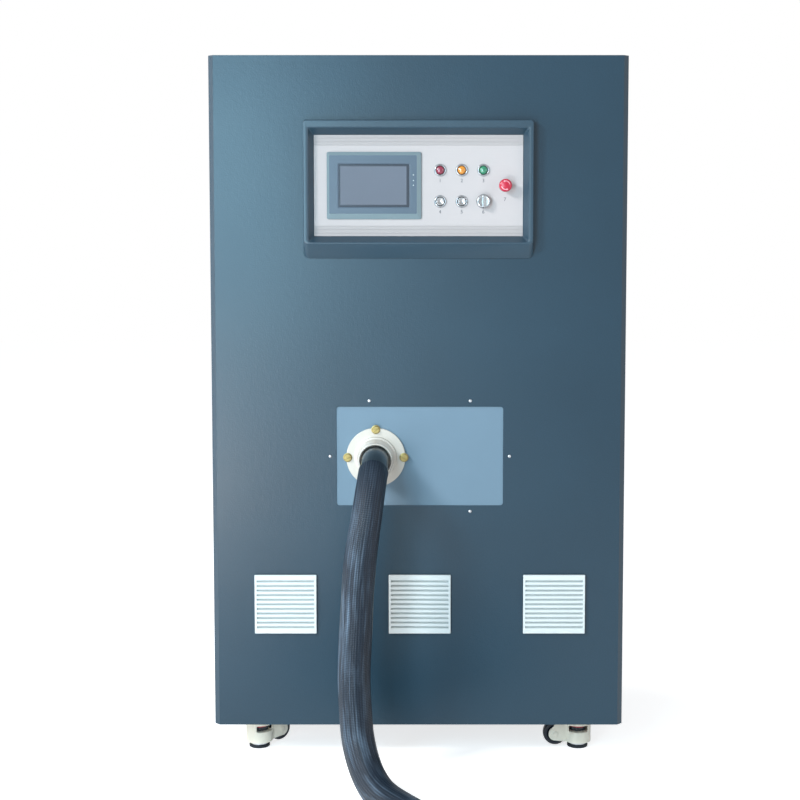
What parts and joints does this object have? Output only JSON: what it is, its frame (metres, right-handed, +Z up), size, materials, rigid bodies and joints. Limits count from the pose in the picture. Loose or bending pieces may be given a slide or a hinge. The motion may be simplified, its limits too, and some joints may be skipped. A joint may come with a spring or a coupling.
{
  "type": "induction heating machine",
  "caption": "Floor-standing induction heating cabinet on levelling casters, with a control console, flanged cable outlet and heavy braided output cable.",
  "frame": {"origin": "on the floor, midway across the cabinet's width and its depth with the cable neck and gland", "axes": "+Z up, -Y out of the console's face, +X to the right as seen from the front"},
  "size_m": [0.98, 2.0635, 1.675],
  "materials": {
    "cabinet_paint": "fine-textured dark blue-grey powder coat",
    "frame_paint": "plain grey powder coat",
    "zinc_steel": "bright zinc plating",
    "face_aluminium": "silver anodised, fine brushed",
    "screen_plastic": "blue-grey moulded",
    "screen_glass": "dark display behind clear glass",
    "chrome_ring": "bright plated",
    "red_lens": "clear tinted",
    "amber_lens": "clear tinted",
    "green_lens": "clear tinted",
    "button_metal": "satin",
    "red_plastic": "smooth",
    "black_plastic": "moulded",
    "board_laminate": "insulating laminate",
    "white_enamel": "smooth white paint",
    "brass_screw": "turned",
    "black_rubber": "smooth moulded",
    "white_plastic": "moulded",
    "raw_aluminium": "extruded",
    "can_aluminium": "sleeved can",
    "core_steel": "varnished laminations",
    "winding_resin": "cast resin",
    "board_green": "circuit board",
    "fan_metal": "black paint",
    "cable_sleeve": "braided sleeve over rubber hose",
    "ivory_paint": "ivory powder coat",
    "wheel_nylon": "black nylon",
    "foot_rubber": "black rubber on a steel stem",
    "dial_plastic": "red moulded"
  },
  "bodies": {
    "cabinet": {"base_plate": "cabinet_paint", "frame": "frame_paint", "front_panel": "cabinet_paint", "left_side_panel": "cabinet_paint", "right_side_panel": "cabinet_paint", "top_cover": "cabinet_paint", "door_hinges": "zinc_steel", "control_bezel": "cabinet_paint", "control_faceplate": "face_aluminium", "touchscreen_housing": "screen_plastic", "touchscreen_glass": "screen_glass", "operator_bezels": "chrome_ring", "red_lamp_lens": "red_lens", "amber_lamp_lens": "amber_lens", "green_lamp_lens": "green_lens", "contact_blocks": "black_plastic", "outlet_board": "board_laminate", "board_screws": "zinc_steel", "outlet_flange": "white_enamel", "flange_screws": "brass_screw", "cable_tube": "black_rubber", "intake_grilles": "white_plastic", "mounting_plate": "zinc_steel", "heatsink": "raw_aluminium", "power_modules": "black_plastic", "capacitor_bank": "can_aluminium", "reactor_core": "core_steel", "reactor_winding": "winding_resin", "control_board": "board_green", "main_breaker": "black_plastic", "mains_gland": "black_plastic", "output_cable": "cable_sleeve", "cable_coil": "cable_sleeve", "cable_connector": "black_rubber", "caster_plates": "zinc_steel"},
    "rear_door": {"rear_door": "cabinet_paint", "fan_frame": "fan_metal"},
    "door_lock": {"door_lock": "zinc_steel"},
    "fan_rotor": {"fan_rotor": "black_plastic"},
    "stop_button": {"stop_button": "button_metal"},
    "start_button": {"start_button": "button_metal"},
    "power_knob": {"power_knob": "chrome_ring"},
    "emergency_button": {"emergency_button": "red_plastic"},
    "breaker_toggle": {"breaker_toggle": "white_plastic"},
    "front_left_fork": {"front_left_fork": "ivory_paint"},
    "front_left_wheel": {"front_left_wheel": "wheel_nylon"},
    "front_left_foot": {"front_left_foot": "foot_rubber"},
    "front_left_dial": {"front_left_dial": "dial_plastic"},
    "front_right_fork": {"front_right_fork": "ivory_paint"},
    "front_right_wheel": {"front_right_wheel": "wheel_nylon"},
    "front_right_foot": {"front_right_foot": "foot_rubber"},
    "front_right_dial": {"front_right_dial": "dial_plastic"},
    "rear_left_fork": {"rear_left_fork": "ivory_paint"},
    "rear_left_wheel": {"rear_left_wheel": "wheel_nylon"},
    "rear_left_foot": {"rear_left_foot": "foot_rubber"},
    "rear_left_dial": {"rear_left_dial": "dial_plastic"},
    "rear_right_fork": {"rear_right_fork": "ivory_paint"},
    "rear_right_wheel": {"rear_right_wheel": "wheel_nylon"},
    "rear_right_foot": {"rear_right_foot": "foot_rubber"},
    "rear_right_dial": {"rear_right_dial": "dial_plastic"}
  },
  "joints": [
    {"name": "door_swing", "type": "hinge", "parent": "cabinet", "child": "rear_door", "pos_m": [0.4585, 0.366, 0.9515], "axis": [0, 0, -1], "range_deg": [0, 110]},
    {"name": "lock_turn", "type": "hinge", "parent": "rear_door", "child": "door_lock", "pos_m": [-0.412, 0.36, 0.9515], "axis": [0, 1, 0], "range_deg": [0, 90]},
    {"name": "fan_spin", "type": "hinge", "parent": "rear_door", "child": "fan_rotor", "pos_m": [0, 0.33, 1.456], "axis": [0, 1, 0], "continuous": true},
    {"name": "stop_press", "type": "slide", "parent": "cabinet", "child": "stop_button", "axis": [0, 1, 0], "range_m": [0, 0.003], "stiffness_N_per_m": 900},
    {"name": "start_press", "type": "slide", "parent": "cabinet", "child": "start_button", "axis": [0, 1, 0], "range_m": [0, 0.003], "stiffness_N_per_m": 900},
    {"name": "emergency_press", "type": "slide", "parent": "cabinet", "child": "emergency_button", "axis": [0, 1, 0], "range_m": [0, 0.005], "stiffness_N_per_m": 1500},
    {"name": "power_turn", "type": "hinge", "parent": "cabinet", "child": "power_knob", "pos_m": [0.1515, -0.35, 1.33695], "axis": [0, 1, 0], "range_deg": [-135, 135]},
    {"name": "breaker_throw", "type": "hinge", "parent": "cabinet", "child": "breaker_toggle", "pos_m": [0.2525, 0.067, 0.9505], "axis": [-1, 0, 0], "range_deg": [0, 60]},
    {"name": "front_left_swivel", "type": "hinge", "parent": "cabinet", "child": "front_left_fork", "pos_m": [-0.393, -0.24, 0.09], "axis": [0, 0, 1], "continuous": true},
    {"name": "front_left_roll", "type": "hinge", "parent": "front_left_fork", "child": "front_left_wheel", "pos_m": [-0.3501, -0.204, 0.034], "axis": [0.6428, -0.766, 0], "continuous": true},
    {"name": "front_left_dial_turn", "type": "hinge", "parent": "front_left_fork", "child": "front_left_dial", "pos_m": [-0.393, -0.24, 0.05], "axis": [0, 0, 1], "range_deg": [-1440, 2160]},
    {"name": "front_left_foot_lift", "type": "slide", "parent": "front_left_fork", "child": "front_left_foot", "axis": [0, 0, 1], "range_m": [-0.008, 0.012]},
    {"name": "front_right_swivel", "type": "hinge", "parent": "cabinet", "child": "front_right_fork", "pos_m": [0.393, -0.24, 0.09], "axis": [0, 0, 1], "continuous": true},
    {"name": "front_right_roll", "type": "hinge", "parent": "front_right_fork", "child": "front_right_wheel", "pos_m": [0.337, -0.24, 0.034], "axis": [0, 1, 0], "continuous": true},
    {"name": "front_right_dial_turn", "type": "hinge", "parent": "front_right_fork", "child": "front_right_dial", "pos_m": [0.393, -0.24, 0.05], "axis": [0, 0, 1], "range_deg": [-1440, 2160]},
    {"name": "front_right_foot_lift", "type": "slide", "parent": "front_right_fork", "child": "front_right_foot", "axis": [0, 0, 1], "range_m": [-0.008, 0.012]},
    {"name": "rear_left_swivel", "type": "hinge", "parent": "cabinet", "child": "rear_left_fork", "pos_m": [-0.393, 0.26, 0.09], "axis": [0, 0, 1], "continuous": true},
    {"name": "rear_left_roll", "type": "hinge", "parent": "rear_left_fork", "child": "rear_left_wheel", "pos_m": [-0.393, 0.204, 0.034], "axis": [-1, 0, 0], "continuous": true},
    {"name": "rear_left_dial_turn", "type": "hinge", "parent": "rear_left_fork", "child": "rear_left_dial", "pos_m": [-0.393, 0.26, 0.05], "axis": [0, 0, 1], "range_deg": [-1440, 2160]},
    {"name": "rear_left_foot_lift", "type": "slide", "parent": "rear_left_fork", "child": "rear_left_foot", "axis": [0, 0, 1], "range_m": [-0.008, 0.012]},
    {"name": "rear_right_swivel", "type": "hinge", "parent": "cabinet", "child": "rear_right_fork", "pos_m": [0.393, 0.26, 0.09], "axis": [0, 0, 1], "continuous": true},
    {"name": "rear_right_roll", "type": "hinge", "parent": "rear_right_fork", "child": "rear_right_wheel", "pos_m": [0.3501, 0.224, 0.034], "axis": [-0.6428, 0.766, 0], "continuous": true},
    {"name": "rear_right_dial_turn", "type": "hinge", "parent": "rear_right_fork", "child": "rear_right_dial", "pos_m": [0.393, 0.26, 0.05], "axis": [0, 0, 1], "range_deg": [-1440, 2160]},
    {"name": "rear_right_foot_lift", "type": "slide", "parent": "rear_right_fork", "child": "rear_right_foot", "axis": [0, 0, 1], "range_m": [-0.008, 0.012]}
  ],
  "couplings": [
    {"joint": "front_left_foot_lift", "follows": "front_left_dial_turn", "m_per_rad": 0.000318},
    {"joint": "front_right_foot_lift", "follows": "front_right_dial_turn", "m_per_rad": 0.000318},
    {"joint": "rear_left_foot_lift", "follows": "rear_left_dial_turn", "m_per_rad": 0.000318},
    {"joint": "rear_right_foot_lift", "follows": "rear_right_dial_turn", "m_per_rad": 0.000318}
  ]
}
